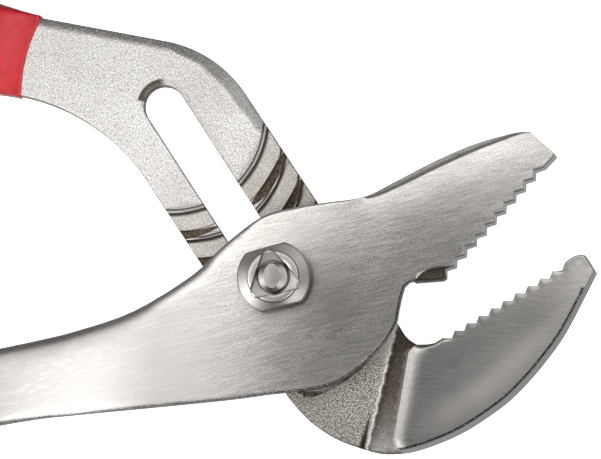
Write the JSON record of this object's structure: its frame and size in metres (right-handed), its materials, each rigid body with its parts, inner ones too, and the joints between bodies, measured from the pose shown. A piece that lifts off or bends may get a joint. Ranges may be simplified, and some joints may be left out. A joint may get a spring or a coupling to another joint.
{
  "type": "slip joint pliers",
  "caption": "Groove-joint slip joint pliers: two forged steel levers on a bolt that slides along a slot, with toothed jaws and dipped red grips.",
  "frame": {"origin": "on the pivot axis, at the back face of the bolt's head, which lies on the table", "axes": "+X from the pivot to the jaws, +Y to the upper handle, +Z out of the front face along the pivot axis"},
  "size_m": [0.2517, 0.1324, 0.0192],
  "materials": {
    "blasted_steel": "grainy blasted nickel, ground on the jaw",
    "ground_steel": "ground satin with streaks along the lever",
    "pivot_steel": "polished, slightly worn",
    "red_grip": "glossy dipped vinyl"
  },
  "bodies": {
    "rear_half": {"rear_lever": "blasted_steel", "rear_grip": "red_grip"},
    "pivot": {"pivot_bolt": "pivot_steel", "pivot_nut": "pivot_steel"},
    "front_half": {"front_lever": "ground_steel", "front_grip": "red_grip"}
  },
  "joints": [
    {"name": "slot_slide", "type": "slide", "parent": "rear_half", "child": "pivot", "axis": [-0.5432, 0.8396, 0], "range_m": [0, 0.048]},
    {"name": "lever_hinge", "type": "hinge", "parent": "pivot", "child": "front_half", "pos_m": [0, 0, 0.01135], "axis": [0, 0, 1], "range_deg": [-18, 46]}
  ]
}
